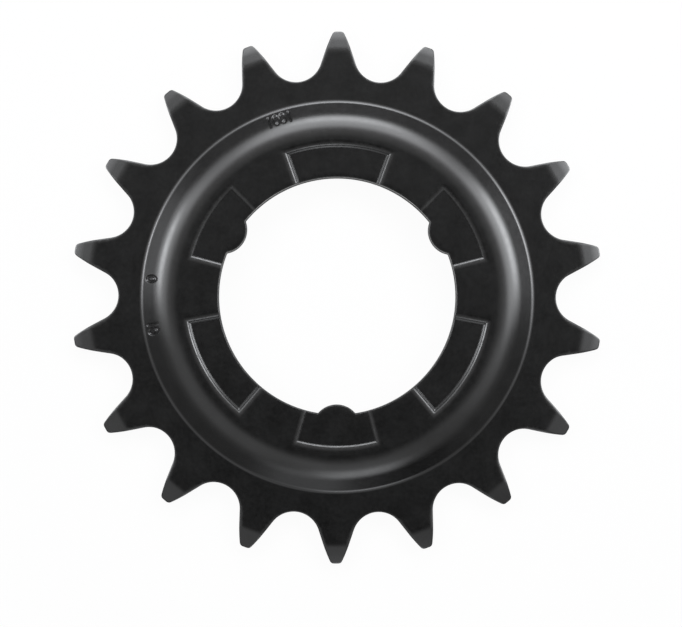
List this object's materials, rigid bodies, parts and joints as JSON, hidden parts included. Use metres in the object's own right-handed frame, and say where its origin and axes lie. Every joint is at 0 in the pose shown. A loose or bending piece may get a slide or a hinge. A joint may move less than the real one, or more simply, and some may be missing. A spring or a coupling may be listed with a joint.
{
  "type": "bicycle sprocket",
  "caption": "Dished steel chain sprocket with a raised middle ring, shallow coined pockets and half-round lugs in its bore, which a geared bicycle hub drives.",
  "frame": {"origin": "on the sprocket's axis, in the plane of the back of its tooth ring, which it lies on", "axes": "+Z along the axis, towards the raised ring; +Y through the middle of a tooth that stands opposite a lug"},
  "size_m": [0.0786, 0.0796, 0.0046],
  "materials": {
    "black_steel": "satin black coated steel"
  },
  "bodies": {
    "root": {"sprocket": "black_steel"}
  },
  "joints": []
}
